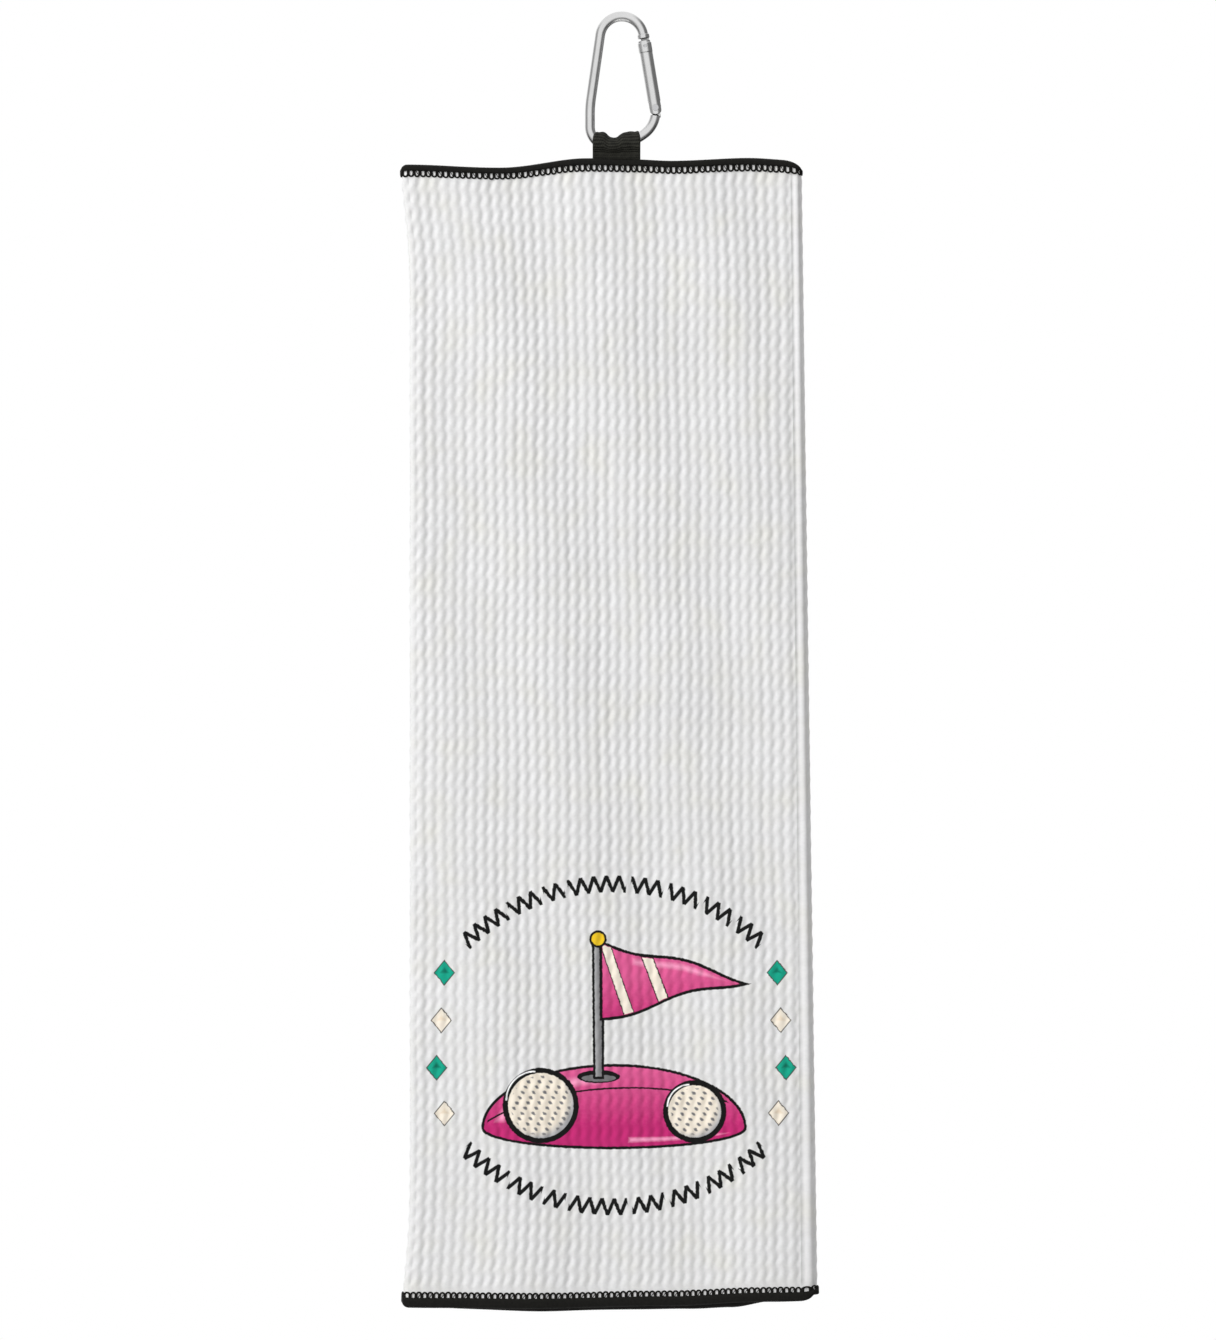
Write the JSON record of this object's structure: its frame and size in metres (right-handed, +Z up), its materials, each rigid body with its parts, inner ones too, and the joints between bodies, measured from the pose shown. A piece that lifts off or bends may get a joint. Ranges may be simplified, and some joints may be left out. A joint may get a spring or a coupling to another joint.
{
  "type": "golf towel",
  "caption": "White waffle cloth towel folded in thirds, black overlocked edges, webbing loop and a small spring-gate carabiner that clips to a golf bag.",
  "frame": {"origin": "inside of the carabiner's crown, where the ring that holds the towel bears", "axes": "+X to the right of the printed front face, +Y backwards from it, +Z up; the towel hangs down -Z"},
  "size_m": [0.161, 0.0122, 0.5178],
  "materials": {
    "aluminium": "satin",
    "steel": "satin",
    "waffle_cloth": "matte",
    "edging_thread": "matte",
    "webbing": "matte"
  },
  "bodies": {
    "carabiner": {"carabiner_body": "aluminium", "pivot_rivet": "steel"},
    "gate": {"gate_tube": "aluminium", "latch_pin": "steel", "gate_spring": "steel"},
    "plunger": {"gate_plunger": "steel"},
    "loop": {"webbing_loop": "webbing"},
    "towel": {"webbing_tails": "webbing", "front_panel": "waffle_cloth", "left_fold": "waffle_cloth", "inner_flap": "waffle_cloth", "front_top_edging": "edging_thread", "front_bottom_edging": "edging_thread", "left_fold_top_edging": "edging_thread", "left_fold_bottom_edging": "edging_thread", "inner_top_edging": "edging_thread", "inner_bottom_edging": "edging_thread", "inner_side_edging": "edging_thread", "right_fold": "waffle_cloth", "right_fold_top_edging": "edging_thread", "right_fold_bottom_edging": "edging_thread"},
    "flap": {"outer_flap": "waffle_cloth", "outer_top_edging": "edging_thread", "outer_bottom_edging": "edging_thread", "outer_side_edging": "edging_thread"}
  },
  "joints": [
    {"name": "gate_hinge", "type": "hinge", "parent": "carabiner", "child": "gate", "pos_m": [0.01343, 0, -0.03458], "axis": [0, -1, 0], "range_deg": [0, 30], "stiffness_Nm_per_rad": 0.03, "springref_deg": -28.65},
    {"name": "plunger_slide", "type": "slide", "parent": "gate", "child": "plunger", "axis": [-0.1633, 0, 0.9866], "range_m": [0, 0.0009], "deforming": ["gate_spring"]},
    {"name": "loop_swing", "type": "hinge", "parent": "carabiner", "child": "loop", "pos_m": [-0.0021, 0, -0.0482], "axis": [1, 0, 0], "range_deg": [-50, 50]},
    {"name": "towel_bend", "type": "hinge", "parent": "loop", "child": "towel", "pos_m": [-0.0021, 0, -0.0554], "axis": [1, 0, 0], "range_deg": [-50, 50]},
    {"name": "outer_flap_fold", "type": "hinge", "parent": "towel", "child": "flap", "pos_m": [0.0722, 0.0019, -0.285], "axis": [0, 0, -1], "range_deg": [0, 180], "deforming": ["right_fold", "right_fold_top_edging", "right_fold_bottom_edging"]}
  ],
  "couplings": [
    {"joint": "plunger_slide", "follows": "gate_hinge", "m_per_rad": 0.0016}
  ]
}
